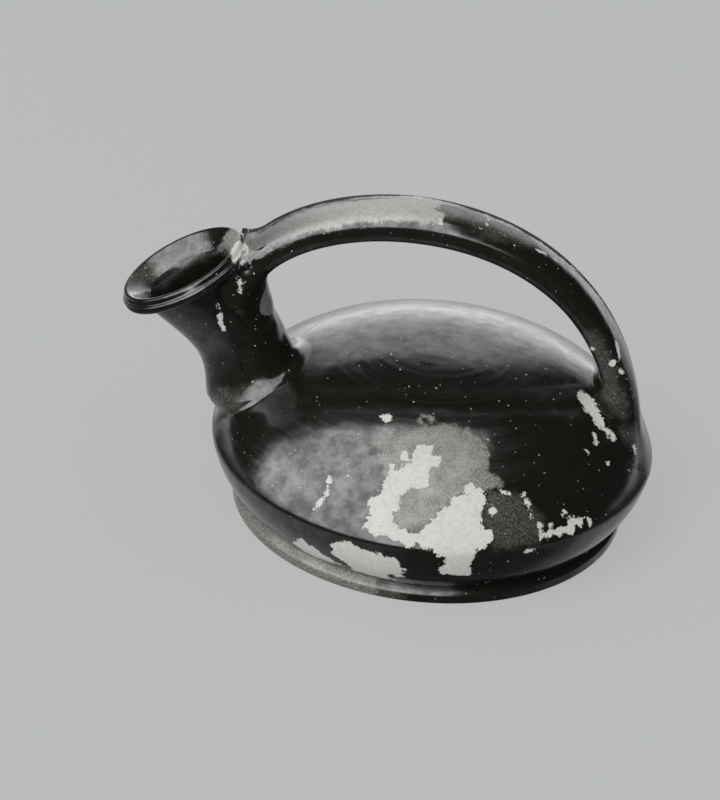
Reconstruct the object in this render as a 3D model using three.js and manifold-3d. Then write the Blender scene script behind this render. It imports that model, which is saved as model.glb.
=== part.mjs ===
// A low spouted jug of black-gloss pottery: a lentil-shaped closed body on a flat base disc,
// a trumpet spout that leans out over one side, and a strap handle that runs from the back of
// the mouth over the body to the opposite shoulder.
// Millimetres, +Z up. The origin is the middle of the flat underside. The spout leans towards
// -X, and spout and handle lie in the plane Y = 0.

import * as THREE from "three";
import { mergeVertices } from "three/addons/utils/BufferGeometryUtils.js";
import Module from "manifold-3d";

// Joints and clay thickness
const SLIP_GAP = 0.3; // film of slip between pieces that meet at a slant
const WALL = 3.2; // dome and lower wall
const FLOOR = 3.6; // base disc
const NECK_WALL = 2.3; // spout, from the throat to the waist

// Body
const EDGE_RADIUS = 50; // sharp edge where dome and lower wall meet
const EDGE_HEIGHT = 16.5;
const DOME_RISE = 22.5; // from the edge to the top of the dome
const DOME_SINK = 9.5; // the dome's curve is centred this far below the edge, so it meets it aslant
const DOME_FULLNESS = 2.25; // 2 is an ellipse, more is squarer
const BOWL_INSET = 7; // the lower wall's foot, at the scraped groove, lies this far inside the edge
const BOWL_BULGE = 1.3; // how far the lower wall stands out from a straight cone
const GROOVE_DEPTH = 1.6; // scraped groove between the base disc's side and the lower wall
const BASE_SIDE = 2.2; // height at which the base disc's side turns into the groove
const BASE_BEVEL = 0.4; // worn lower edge of the base disc
const SEAM_COIL_RADIUS = 1.4; // coil of clay pressed into the seam from inside
const SEAM_COIL_SETBACK = 0.9; // from the lower wall, because the dome slants in over the coil

// Mouth
const MOUTH_BEYOND_EDGE = 8.4; // centre of the mouth, outside the body's edge
const MOUTH_ABOVE_DOME = 15.4; // centre of the mouth, above the top of the dome
const MOUTH_TILT = 28.8; // degrees that the mouth leans outwards
const MOUTH_RADIUS = 13.4; // clear opening at the lip
const RIM_WIDTH = 1.9; // moulded lip, from the opening to its outside
const RIM_HEIGHT = 3.2;
const RIM_ROUNDING = 0.6; // on the lip's edges
const RIM_GROOVE_DEPTH = 0.5; // turned line around the lip
const RIM_GROOVE_WIDTH = 0.7;
const RIM_OVERHANG = 3.8; // how far the lip stands out from the throat

// Spout neck, measured along its own axis from the plane of the mouth
const WAIST_DEPTH = 20.5;
const WAIST_RADIUS = 9.8;
const WAIST_LEAN = 3.7; // the waist lies this far towards the handle
const ROOT_INSET = 8.4; // where the neck's axis meets the dome, inside the body's edge
const ROOT_RADIUS = 11.3;
const ROOT_FLARE = 2.4; // further widening below the root point
const ROOT_BEND = 1.3; // sideways shift below the root point, away from the handle
const ROOT_DEPTH = 9; // how far the neck's outline is carried on below the root point
const COLLAR_HEIGHT = 4; // luting ring around the spout's root

// Handle, along its centre line
const HANDLE_BEHIND_RIM = 1.2; // its start, behind the lip
const HANDLE_BELOW_RIM = 5.2; // its start, below the plane of the mouth
const HANDLE_RISE_ANGLE = 51; // degrees above level, where it leaves the mouth
const HANDLE_RISE = 24.9; // pull of the curve at the mouth end
const HANDLE_FOOT_INSET = 6.8; // its end, inside the body's edge
const HANDLE_FOOT_SINK = 6; // its end, below the dome's surface
const HANDLE_FOOT_LEAN = 6.5; // degrees off upright at the shoulder
const HANDLE_DROP = 57.2; // pull of the curve at the shoulder end
const STRAP_WIDTH = 14.6;
const STRAP_SQUARENESS = 2.6; // 2 is an ellipse, more is squarer
const STRAP_THICKNESS_MOUTH = 7;
const STRAP_THICKNESS_CREST = 7.5;
const STRAP_THICKNESS_DESCENT = 6.8;
const STRAP_THICKNESS_SHOULDER = 7.8;

// Handle roots
const MOUTH_PAD_LENGTH = 2.8; // of the handle's line, from its start behind the lip
const MOUTH_PAD_DEPTH = 12.4; // middle of the root on the neck, below the plane of the mouth
const MOUTH_PAD_HEIGHT = 16.4; // along the neck
const MOUTH_PAD_WIDTH = 16;
const MOUTH_PAD_SEAT = 1.4; // how deep the broad end lies inside the neck's outline
const SHOULDER_PAD_LENGTH = 8; // of the handle's line, above the dome
const SHOULDER_PAD_WIDTH = 36;
const SHOULDER_PAD_THICKNESS = 10;
const SHOULDER_PAD_TAIL = 5; // buried length below the handle line's end

// Facets
const BODY_SEGMENTS = 72;
const RIM_SEGMENTS = 48;
const NECK_SIDES = 32;
const NECK_STEPS = 9;
const COLLAR_STEPS = 5;
const DOME_STEPS = 12; // outside
const HOLLOW_STEPS = 8; // inside
const BOWL_STEPS = 4;
const COIL_SIDES = 5;
const STRAP_SIDES = 20;
const STRAP_STEPS = 28;
const PAD_STEPS = 6;

// Places that follow from the sizes above
const BOWL_FOOT_RADIUS = EDGE_RADIUS - BOWL_INSET;
const BASE_RADIUS = BOWL_FOOT_RADIUS + GROOVE_DEPTH;
const DOME_CENTRE = EDGE_HEIGHT - DOME_SINK;
const DOME_REACH = DOME_RISE + DOME_SINK;
const DOME_RADIUS =
  EDGE_RADIUS / (1 - (DOME_SINK / DOME_REACH) ** DOME_FULLNESS) ** (1 / DOME_FULLNESS);
const MOUTH_REACH = EDGE_RADIUS + MOUTH_BEYOND_EDGE;
const MOUTH_HEIGHT = EDGE_HEIGHT + DOME_RISE + MOUTH_ABOVE_DOME;
const RIM_RADIUS = MOUTH_RADIUS + RIM_WIDTH;
const ROOT_REACH = EDGE_RADIUS - ROOT_INSET;
const HANDLE_FOOT_REACH = EDGE_RADIUS - HANDLE_FOOT_INSET;

const GLOSS = { color: 0x141410, roughness: 0.2, metalness: 0 };
const BARE_CLAY = { color: 0x77756e, roughness: 0.85, metalness: 0 };

const wasm = await Module();
wasm.setup();

// A closed geometry as a solid that can be joined and cut.
function solidOf(geometry) {
  const bare = geometry.clone();
  bare.deleteAttribute("normal");
  bare.deleteAttribute("uv");
  const merged = mergeVertices(bare);
  return new wasm.Manifold(
    new wasm.Mesh({
      numProp: 3,
      vertProperties: merged.attributes.position.array,
      triVerts: new Uint32Array(merged.index.array),
    }),
  );
}

function geometryOf(solid) {
  const { vertProperties, triVerts } = solid.getMesh();
  const geometry = new THREE.BufferGeometry();
  geometry.setAttribute("position", new THREE.BufferAttribute(vertProperties, 3));
  geometry.setIndex(new THREE.BufferAttribute(triVerts, 1));
  geometry.computeVertexNormals();
  return geometry;
}

function cut(geometry, ...cutters) {
  return geometryOf(
    cutters.reduce((solid, cutter) => solid.subtract(solidOf(cutter)), solidOf(geometry)),
  );
}

// Turns a profile of [radius, height] points around Z. It runs anticlockwise, so faces look out.
function turned(profile, segments) {
  const points = profile.map(([radius, height]) => new THREE.Vector2(radius, height));
  return new THREE.LatheGeometry(points, segments).rotateX(Math.PI / 2);
}

// A superellipse of points around a centre, between two half-axis vectors.
function ring(centre, across, along, squareness, count) {
  const shaped = (value) => Math.sign(value) * Math.abs(value) ** (2 / squareness);
  return Array.from({ length: count }, (_, i) => {
    const angle = (2 * Math.PI * i) / count;
    return centre
      .clone()
      .addScaledVector(across, shaped(Math.cos(angle)))
      .addScaledVector(along, shaped(Math.sin(angle)));
  });
}

// Joins rings of equally many points into one solid with flat ends. The points of a ring run
// anticlockwise when it is seen from the ring before it.
function loft(rings) {
  const count = rings[0].length;
  const last = (rings.length - 1) * count;
  const index = [];
  for (let start = 0; start < last; start += count) {
    for (let i = 0; i < count; i++) {
      const a = start + i;
      const b = start + ((i + 1) % count);
      index.push(a, a + count, b, b, a + count, b + count);
    }
  }
  for (let i = 1; i < count - 1; i++) {
    index.push(0, i, i + 1, last, last + i + 1, last + i);
  }
  const geometry = new THREE.BufferGeometry();
  geometry.setFromPoints(rings.flat());
  geometry.setIndex(index);
  return geometry;
}

// Body

// Points of the dome's profile from a height up to the top, a distance outside its surface.
function domeOutline(growth, bottom, steps) {
  const power = 2 / DOME_FULLNESS;
  const reach = DOME_REACH + growth;
  const start = Math.asin(((bottom - DOME_CENTRE) / reach) ** (1 / power));
  return Array.from({ length: steps + 1 }, (_, step) => {
    const angle = THREE.MathUtils.lerp(start, Math.PI / 2, step / steps);
    const radius = step === steps ? 0 : (DOME_RADIUS + growth) * Math.cos(angle) ** power;
    return [radius, DOME_CENTRE + reach * Math.sin(angle) ** power];
  });
}

function domeHeightAt(radius) {
  const share = (radius / DOME_RADIUS) ** DOME_FULLNESS;
  return DOME_CENTRE + DOME_REACH * (1 - share) ** (1 / DOME_FULLNESS);
}

// The space under the dome, down to a height, at a distance inside or outside its surface.
function underDome(growth, bottom, steps) {
  return turned([[0, bottom], ...domeOutline(growth, bottom, steps)], BODY_SEGMENTS);
}

// Everything that a piece on top of the jug must stay clear of.
function bodyClearance() {
  const beyond = 2 * EDGE_RADIUS;
  const shelf = EDGE_HEIGHT + SLIP_GAP;
  const outline = domeOutline(SLIP_GAP, shelf, DOME_STEPS);
  return turned([[0, 0], [beyond, 0], [beyond, shelf], ...outline], BODY_SEGMENTS);
}

function baseDisc() {
  return turned([
    [0, 0],
    [BASE_RADIUS - BASE_BEVEL, 0],
    [BASE_RADIUS, BASE_BEVEL],
    [BASE_RADIUS, BASE_SIDE],
    [BOWL_FOOT_RADIUS, FLOOR],
    [0, FLOOR],
  ], BODY_SEGMENTS);
}

// The lower wall is an arc from the groove to the edge, and its inside runs parallel to it.
function lowerBowl() {
  const foot = new THREE.Vector2(BOWL_FOOT_RADIUS, FLOOR);
  const edge = new THREE.Vector2(EDGE_RADIUS, EDGE_HEIGHT);
  const slope = edge.clone().sub(foot).normalize();
  const outwards = new THREE.Vector2(slope.y, -slope.x);
  const middle = foot.clone().add(edge).multiplyScalar(0.5);
  const bulge = middle.clone().addScaledVector(outwards, 2 * BOWL_BULGE);
  const outside = new THREE.QuadraticBezierCurve(foot, bulge, edge);
  const inside = new THREE.QuadraticBezierCurve(
    new THREE.Vector2(EDGE_RADIUS - WALL, EDGE_HEIGHT),
    bulge.clone().addScaledVector(outwards, -WALL),
    new THREE.Vector2(BOWL_FOOT_RADIUS - WALL, FLOOR),
  );
  const points = [...outside.getPoints(BOWL_STEPS), ...inside.getPoints(BOWL_STEPS), foot];
  return turned(points.map(({ x, y }) => [x, y]), BODY_SEGMENTS);
}

function upperDome() {
  const shell = underDome(0, EDGE_HEIGHT, DOME_STEPS);
  const hollow = underDome(-WALL, EDGE_HEIGHT - WALL, HOLLOW_STEPS);
  return cut(shell, hollow, inJug(spoutBore()));
}

function seamCoil() {
  const radius = EDGE_RADIUS - WALL - SEAM_COIL_SETBACK - SEAM_COIL_RADIUS;
  return new THREE.TorusGeometry(radius, SEAM_COIL_RADIUS, COIL_SIDES, BODY_SEGMENTS);
}

// Spout, in its own frame: the origin is the middle of the mouth, +Z points out of it, and +X
// points towards the handle

const spout = new THREE.Group();
spout.position.set(-MOUTH_REACH, 0, MOUTH_HEIGHT);
spout.rotation.y = THREE.MathUtils.degToRad(-MOUTH_TILT);
spout.updateMatrix();

function inJug(geometry) {
  return geometry.clone().applyMatrix4(spout.matrix);
}

function inSpout(geometry) {
  return geometry.clone().applyMatrix4(spout.matrix.clone().invert());
}

const throat = { depth: RIM_HEIGHT + SLIP_GAP, radius: RIM_RADIUS - RIM_OVERHANG, lean: 0 };
const waist = { depth: WAIST_DEPTH, radius: WAIST_RADIUS, lean: WAIST_LEAN };
const root = rootStation();
const buried = {
  depth: root.depth + ROOT_DEPTH,
  radius: ROOT_RADIUS + ROOT_FLARE,
  lean: root.lean - ROOT_BEND,
};

function rootStation() {
  const point = new THREE.Vector3(-ROOT_REACH, 0, domeHeightAt(ROOT_REACH));
  point.applyMatrix4(spout.matrix.clone().invert());
  return { depth: -point.z, radius: ROOT_RADIUS, lean: point.x };
}

// A smooth stack of circles through the given stations, as a function of the depth.
function circlesThrough(stations) {
  const curve = new THREE.CatmullRomCurve3(
    stations.map(({ depth, radius, lean }) => new THREE.Vector3(lean, radius, depth)),
  );
  return (depth) => {
    let low = 0;
    let high = 1;
    for (let i = 0; i < 30; i++) {
      const middle = (low + high) / 2;
      if (curve.getPoint(middle).z < depth) low = middle;
      else high = middle;
    }
    return curve.getPoint(high);
  };
}

function stack(circleAt, top, bottom, steps, growth) {
  const rings = Array.from({ length: steps + 1 }, (_, i) => {
    const depth = THREE.MathUtils.lerp(top, bottom, i / steps);
    const { x: lean, y: radius } = circleAt(depth);
    const across = new THREE.Vector3(radius + growth, 0, 0);
    const along = new THREE.Vector3(0, radius + growth, 0);
    return ring(new THREE.Vector3(lean, 0, -depth), across, along, 2, NECK_SIDES);
  });
  return loft(rings);
}

const outsideAt = circlesThrough([throat, waist, root, buried]);
const boreRadius = WAIST_RADIUS - NECK_WALL;
const boreAt = circlesThrough([
  { ...throat, depth: 0, radius: MOUTH_RADIUS },
  { ...throat, radius: throat.radius - NECK_WALL },
  { ...waist, radius: boreRadius },
  { ...root, radius: boreRadius },
  { ...buried, radius: boreRadius, depth: buried.depth + WALL },
]);

function spoutBore() {
  return stack(boreAt, 0, buried.depth + WALL, NECK_STEPS + COLLAR_STEPS, 0);
}

const collarTop = root.depth - COLLAR_HEIGHT;

function spoutNeck() {
  const outside = stack(outsideAt, throat.depth, collarTop, NECK_STEPS, 0);
  return cut(outside, spoutBore());
}

// The neck's outline carried on to the dome, where the luting ring is pressed on.
function spoutCollar() {
  const outside = stack(outsideAt, collarTop + SLIP_GAP, buried.depth, COLLAR_STEPS, 0);
  return cut(outside, spoutBore(), inSpout(bodyClearance()));
}

function mouthRim() {
  const inner = throat.radius - NECK_WALL;
  const crown = RIM_RADIUS - RIM_ROUNDING - RIM_GROOVE_WIDTH;
  const line = -RIM_ROUNDING - RIM_GROOVE_WIDTH;
  return turned([
    [inner, -RIM_HEIGHT],
    [RIM_RADIUS - RIM_ROUNDING, -RIM_HEIGHT],
    [RIM_RADIUS, RIM_ROUNDING - RIM_HEIGHT],
    [RIM_RADIUS, line - RIM_ROUNDING / 2],
    [RIM_RADIUS - RIM_ROUNDING, line],
    [RIM_RADIUS - RIM_ROUNDING - RIM_GROOVE_DEPTH, line],
    [crown + RIM_ROUNDING / 2, -RIM_ROUNDING],
    [crown, 0],
    [MOUTH_RADIUS + RIM_ROUNDING / 2, 0],
    [MOUTH_RADIUS, -RIM_ROUNDING],
    [inner, -RIM_HEIGHT],
  ], RIM_SEGMENTS);
}

// Handle

const sideways = new THREE.Vector3(0, 1, 0);

// A direction in the plane of the handle, in degrees above +X.
function heading(angle) {
  return new THREE.Vector3(1, 0, 0).applyAxisAngle(sideways, THREE.MathUtils.degToRad(-angle));
}

function handleLine() {
  const start = new THREE.Vector3(RIM_RADIUS + HANDLE_BEHIND_RIM, 0, -HANDLE_BELOW_RIM);
  start.applyMatrix4(spout.matrix);
  const footHeight = domeHeightAt(HANDLE_FOOT_REACH) - HANDLE_FOOT_SINK;
  const end = new THREE.Vector3(HANDLE_FOOT_REACH, 0, footHeight);
  return new THREE.CubicBezierCurve3(
    start,
    start.clone().addScaledVector(heading(HANDLE_RISE_ANGLE), HANDLE_RISE),
    end.clone().addScaledVector(heading(90 + HANDLE_FOOT_LEAN), HANDLE_DROP),
    end,
  );
}

const line = handleLine();
const strapStart = MOUTH_PAD_LENGTH / line.getLength();
const strapEnd = 1 - (HANDLE_FOOT_SINK + SHOULDER_PAD_LENGTH) / line.getLength();
const thickness = new THREE.SplineCurve(
  [
    STRAP_THICKNESS_MOUTH,
    STRAP_THICKNESS_CREST,
    STRAP_THICKNESS_DESCENT,
    STRAP_THICKNESS_SHOULDER,
  ].map((value, i) => new THREE.Vector2(i, value)),
);

// A section of the handle, square to the way that it runs.
function section(centre, direction, width, depth) {
  const inwards = new THREE.Vector3().crossVectors(sideways, direction).normalize();
  const across = sideways.clone().multiplyScalar(width / 2);
  const along = inwards.multiplyScalar(depth / 2);
  return ring(centre, across, along, STRAP_SQUARENESS, STRAP_SIDES);
}

function strapSection(place, share) {
  const centre = line.getPointAt(place);
  return section(centre, line.getTangentAt(place), STRAP_WIDTH, thickness.getPoint(share).y);
}

function handleStrap() {
  const rings = Array.from({ length: STRAP_STEPS + 1 }, (_, i) => {
    const share = i / STRAP_STEPS;
    return strapSection(THREE.MathUtils.lerp(strapStart, strapEnd, share), share);
  });
  return loft(rings);
}

// Sections that leave the strap's end at its own width and spread towards a broader one.
function blended(from, to, steps) {
  return Array.from({ length: steps + 1 }, (_, i) => {
    const share = i / steps;
    const centre = from.centre.clone().lerp(to.centre, share);
    const direction = from.direction.clone().lerp(to.direction, share).normalize();
    const width = THREE.MathUtils.lerp(from.width, to.width, share ** 2);
    const depth = THREE.MathUtils.lerp(from.depth, to.depth, share);
    return section(centre, direction, width, depth);
  });
}

// The handle's root on the back of the neck, which runs on inside the neck before it is cut.
function mouthPad() {
  const place = strapStart - SLIP_GAP / line.getLength();
  const backwards = heading(180 + MOUTH_TILT);
  const inNeck = (reach) =>
    new THREE.Vector3(reach, 0, -MOUTH_PAD_DEPTH).applyMatrix4(spout.matrix);
  const free = {
    centre: line.getPointAt(place),
    direction: line.getTangentAt(place).negate(),
    width: STRAP_WIDTH,
    depth: STRAP_THICKNESS_MOUTH,
  };
  const seated = {
    centre: inNeck(WAIST_LEAN + WAIST_RADIUS - MOUTH_PAD_SEAT),
    direction: backwards,
    width: MOUTH_PAD_WIDTH,
    depth: MOUTH_PAD_HEIGHT,
  };
  const tail = section(inNeck(WAIST_LEAN), backwards, MOUTH_PAD_WIDTH, MOUTH_PAD_HEIGHT);
  const pad = loft([...blended(free, seated, PAD_STEPS), tail]);
  return cut(pad, inJug(neckClearance()), inJug(rimClearance()));
}

// The filled neck, from half way up the lip, so that the two clearances run into each other.
function neckClearance() {
  return stack(outsideAt, RIM_HEIGHT / 2, root.depth, NECK_STEPS, SLIP_GAP);
}

function rimClearance() {
  const radius = RIM_RADIUS + SLIP_GAP;
  const bottom = -RIM_HEIGHT - SLIP_GAP;
  return turned([[0, bottom], [radius, bottom], [radius, RIM_HEIGHT], [0, RIM_HEIGHT]], RIM_SEGMENTS);
}

// The handle's root on the shoulder, which runs on inside the dome before it is cut.
function shoulderPad() {
  const place = strapEnd + SLIP_GAP / line.getLength();
  const downwards = line.getTangentAt(1);
  const free = {
    centre: line.getPointAt(place),
    direction: line.getTangentAt(place),
    width: STRAP_WIDTH,
    depth: STRAP_THICKNESS_SHOULDER,
  };
  const seated = {
    centre: line.getPointAt(1),
    direction: downwards,
    width: SHOULDER_PAD_WIDTH,
    depth: SHOULDER_PAD_THICKNESS,
  };
  const below = line.getPointAt(1).addScaledVector(downwards, SHOULDER_PAD_TAIL);
  const tail = section(below, downwards, SHOULDER_PAD_WIDTH, SHOULDER_PAD_THICKNESS);
  return cut(loft([...blended(free, seated, PAD_STEPS), tail]), bodyClearance());
}

// Assembly

function piece(name, geometry, finish) {
  const mesh = new THREE.Mesh(geometry, new THREE.MeshStandardMaterial(finish));
  mesh.name = name;
  return mesh;
}

const seam = piece("seam_coil", seamCoil(), BARE_CLAY);
seam.position.z = EDGE_HEIGHT;

const body = new THREE.Group();
body.add(
  piece("base_disc", baseDisc(), GLOSS),
  piece("lower_bowl", lowerBowl(), GLOSS),
  piece("upper_dome", upperDome(), GLOSS),
  seam,
);

spout.add(
  piece("mouth_rim", mouthRim(), GLOSS),
  piece("spout_neck", spoutNeck(), GLOSS),
  piece("spout_collar", spoutCollar(), GLOSS),
);

const handle = new THREE.Group();
handle.add(
  piece("handle_pad_mouth", mouthPad(), GLOSS),
  piece("handle_strap", handleStrap(), GLOSS),
  piece("handle_pad_shoulder", shoulderPad(), GLOSS),
);

const jug = new THREE.Group();
jug.add(body, spout, handle);

export default jug;
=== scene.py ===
"""Dresses a low spouted jug of black-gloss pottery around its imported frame.

Everything is in metres in the frame's own axes: +Z up, the spout leans towards -X, and spout and
handle lie in the plane Y = 0. Each piece stands for the frame's node of the same form, with finer
curves, soft joins where the potter smeared the slip, and the wear of an old pot.
"""

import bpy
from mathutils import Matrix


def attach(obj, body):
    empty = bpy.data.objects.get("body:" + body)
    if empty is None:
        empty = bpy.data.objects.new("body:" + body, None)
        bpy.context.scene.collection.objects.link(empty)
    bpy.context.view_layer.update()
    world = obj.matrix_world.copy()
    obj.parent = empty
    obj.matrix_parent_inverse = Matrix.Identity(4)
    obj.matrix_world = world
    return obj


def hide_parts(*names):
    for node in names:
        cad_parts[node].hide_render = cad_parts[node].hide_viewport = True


bl_info = {
    "name": "Black-gloss spouted jug",
    "version": (1, 0, 0),
    "blender": (4, 5, 0),
    "location": "3D View > Sidebar > Jug",
    "description": "Builds the glossy skin, the wear and the studio of a spouted jug",
    "category": "Object",
}

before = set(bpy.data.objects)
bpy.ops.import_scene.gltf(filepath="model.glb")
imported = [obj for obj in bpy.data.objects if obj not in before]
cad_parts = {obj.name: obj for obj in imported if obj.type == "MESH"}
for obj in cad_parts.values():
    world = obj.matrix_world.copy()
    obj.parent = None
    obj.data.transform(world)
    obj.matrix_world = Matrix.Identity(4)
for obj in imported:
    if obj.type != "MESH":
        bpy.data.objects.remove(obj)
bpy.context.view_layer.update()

import math
from functools import partial

import bpy
import numpy as np
from bpy.props import FloatProperty, FloatVectorProperty, PointerProperty, StringProperty
from mathutils import Matrix, Vector

MM = 0.001
# Written as the distance where no worn place is near
FAR = 30 * MM
# Points around each kind of piece, and rows of them along its outline
SIDES = {
    "base": 360, "bowl": 480, "dome": 440, "bore": 96, "rim": 288, "neck": 240, "strap": 160,
    "shoulder": 240, "paper": 64,
}
ROWS = {
    "wall": 60, "wall_inside": 30, "wall_coarse": 24, "dome": 170, "dome_inside": 40,
    "dome_coarse": 60, "neck": 80, "bore": 60, "strap": 280,
}


# Sizes and colours


def length(name, description, millimetres):
    return FloatProperty(
        name=name, description=description, default=millimetres * MM, unit="LENGTH", precision=5
    )


def degrees(name, description, value):
    return FloatProperty(
        name=name, description=description, default=math.radians(value), subtype="ANGLE"
    )


def number(name, description, value):
    return FloatProperty(name=name, description=description, default=value)


def tone(name, description, hex_code):
    return StringProperty(name=name, description=description + ", as an sRGB hex", default=hex_code)


class JugBodySizes(bpy.types.PropertyGroup):
    edge_radius: length("Edge radius", "Sharp edge where dome and lower wall meet", 50)
    edge_height: length("Edge height", "Height of that edge above the table", 16.5)
    edge_wear: length("Edge wear", "How far the worn edge is rounded off on each side", 0.6)
    dome_rise: length("Dome rise", "From the edge to the top of the dome", 22.5)
    dome_sink: length("Dome sink", "How far the dome's curve is centred below the edge", 9.5)
    dome_fullness: number("Dome fullness", "2 is an ellipse, more is squarer", 2.25)
    wall: length("Wall", "Clay thickness of dome and lower wall", 3.2)
    bowl_inset: length("Foot inset", "Foot of the lower wall, inside the edge", 7)
    bowl_bulge: length("Bulge", "How far the lower wall stands out from a cone", 1.3)
    floor: length("Floor", "Thickness of the base disc", 3.6)
    groove: length("Groove", "Depth of the scraped groove above the base disc", 1.6)
    base_side: length("Base side", "Height at which the base disc turns into the groove", 2.2)


class JugSpoutSizes(bpy.types.PropertyGroup):
    reach: length("Mouth reach", "Middle of the mouth, out from the body's axis", 58.4)
    height: length("Mouth height", "Middle of the mouth above the table", 54.4)
    tilt: degrees("Mouth tilt", "How far the mouth leans outwards", 28.8)
    mouth_radius: length("Mouth radius", "Clear opening at the lip", 13.4)
    rim_radius: length("Rim radius", "Outside of the moulded lip", 15.3)
    rim_height: length("Rim height", "Height of the moulded lip", 3.2)
    throat_radius: length("Throat radius", "Outside of the neck under the lip", 11.5)
    neck_wall: length("Neck wall", "Clay thickness of the neck under the lip", 2.3)
    waist_radius: length("Waist radius", "Outside of the neck at its narrowest", 9.8)
    waist_depth: length("Waist depth", "Below the plane of the mouth", 20.5)
    waist_lean: length("Waist lean", "How far the waist lies towards the handle", 3.7)
    root_reach: length("Root reach", "Where the neck's axis meets the dome", 41.6)
    root_radius: length("Root radius", "Outside of the neck there", 11.3)
    root_spread: length("Root spread", "Radius of the smear of slip around the root", 16)
    root_fillet: length("Root fillet", "Depth of that smear in the corner", 3.8)
    root_smear: length("Root smear", "How far up the neck that smear begins", 8)
    bore_radius: length("Bore radius", "Inside of the neck at the waist", 7.5)


class JugHandleSizes(bpy.types.PropertyGroup):
    behind_rim: length("Behind the rim", "Start of the handle's line behind the lip", 1.2)
    below_rim: length("Below the rim", "Start of the handle's line below the mouth", 5.2)
    rise: length("Rise", "Pull of the curve at the mouth end", 24.9)
    rise_angle: degrees("Rise angle", "Slope at the mouth end", 51)
    foot_reach: length("Foot reach", "End of the line, out from the body's axis", 43.2)
    foot_sink: length("Foot sink", "End of the line below the dome's surface", 6)
    foot_lean: degrees("Foot lean", "Slope off upright at the shoulder", 6.5)
    drop: length("Drop", "Pull of the curve at the shoulder end", 57.2)
    width: length("Strap width", "Across the strap", 14.6)
    thickness: length("Strap thickness", "Through the strap at its crest", 7.4)
    squareness: number("Squareness", "2 is an ellipse, more is squarer", 2.9)
    mouth_start: length("Mouth root", "Along the strap, where its root at the mouth ends", 7)
    mouth_fillet: length("Mouth fillet", "Depth of slip in the corner there", 5)
    pad_depth: length("Pad depth", "Middle of that root, below the plane of the mouth", 9.8)
    pad_reach: length("Pad reach", "From its middle to its top and bottom", 9.2)
    pad_swell: length("Pad swell", "How far it stands out from the neck", 2.2)
    pad_turn: degrees("Pad turn", "How far it reaches around the neck on each side", 58)
    foot_start: length("Shoulder root", "Along the strap, where its root below begins", 17)
    foot_fillet: length("Shoulder fillet", "Depth of slip in the corner there", 6)
    spread: length("Spread", "Half width of the strap where it meets the shoulder", 12.5)
    splay_shift: length("Splay shift", "Middle of the smear there, inside the foot reach", 3)
    splay_in: length("Inward splay", "From that middle towards the body's axis", 13)
    splay_out: length("Outward splay", "From that middle towards the edge", 11)
    splay_side: length("Side splay", "Beyond the spread, on each side", 5.5)


class JugFinish(bpy.types.PropertyGroup):
    gloss: tone("Gloss", "Fired black slip", "#0f0f0c")
    gloss_worn: tone("Worn gloss", "Thin or rubbed slip", "#1d1c18")
    clay: tone("Flaked clay", "Pale clay and lime crust where the slip has flaked off", "#c9cac6")
    clay_dirty: tone("Dirty clay", "Stained parts of the same", "#a9aaa5")
    crust: tone("Crust", "Grey mottled crust on the slip", "#8b8b85")
    # Partly a pale film and partly a painted highlight of the softbox along the handle's top
    bloom_and_highlight: tone("Bloom", "Pale film on the worn top of the handle", "#b0b1ad")
    bare: tone("Bare clay", "Unglazed clay inside the jug", "#77756e")
    backdrop: tone("Backdrop", "Paper under and behind the jug", "#bbbebd")


class JugStage(bpy.types.PropertyGroup):
    distance: length("Camera distance", "From the camera to the point it looks at", 600)
    elevation: degrees("Elevation", "Camera above level", 29.873)
    roll: degrees("Roll", "Camera turned anticlockwise", 4.585)
    aim: FloatVectorProperty(
        name="Aim",
        description="Point in the middle of the picture",
        default=(-0.016932, 0.0, 0.023397),
        subtype="XYZ_LENGTH",
        precision=5,
    )
    lens: number("Lens", "Focal length in millimetres", 119.81)
    softbox: number("Softbox", "Brightness of the softbox in the gloss", 5.4)
    panel: number("Back panel", "Brightness of the pale panel behind the jug", 1.7)
    sweep: number("Sweep", "Brightness of the far paper in the gloss", 3.4)
    ambient: number("Ambient", "Even light on matt surfaces", 0.62)
    paper_radius: length("Paper", "Radius of the sheet of paper", 4000)


# Small tools for shapes


def unit(vectors):
    return vectors / np.linalg.norm(vectors, axis=-1, keepdims=True)


def full_turn(sides):
    return np.linspace(0, 2 * math.pi, sides, endpoint=False)


def turned(profile, sides):
    """Rings of points from a profile of (radius, height), turned around Z."""
    angles = full_turn(sides)
    radius, height = np.asarray(profile, float).T
    around = np.stack([np.cos(angles), np.sin(angles)], -1)
    rings = np.empty((len(radius), sides, 3))
    rings[..., :2] = radius[:, None, None] * around
    rings[..., 2] = height[:, None]
    return rings


def rounded(points, cuts, steps=6):
    """A line of points whose corners are rounded off, each by its own cut length."""
    points = [np.asarray(p, float) for p in points]
    made = [points[0]]
    for before, corner, after, cut in zip(points, points[1:], points[2:], cuts):
        start = corner + unit(before - corner) * cut
        end = corner + unit(after - corner) * cut
        for t in np.linspace(0, 1, steps + 1):
            made.append(quadratic(start, corner, end, t))
    made.append(points[-1])
    return np.array(made)


def evenly(points, spacing):
    """The same line with points about a spacing apart, its own corners kept."""
    made = [points[:1]]
    for a, b in zip(points, points[1:]):
        count = max(1, round(np.linalg.norm(b - a) / spacing))
        made.append(a + (b - a) * np.linspace(0, 1, count + 1)[1:, None])
    return np.concatenate(made)


def quadratic(p0, p1, p2, t):
    return (1 - t) ** 2 * p0 + 2 * t * (1 - t) * p1 + t**2 * p2


def cubic(p0, p1, p2, p3, t):
    return (1 - t) ** 3 * p0 + 3 * t * (1 - t) ** 2 * p1 + 3 * t**2 * (1 - t) * p2 + t**3 * p3


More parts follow.
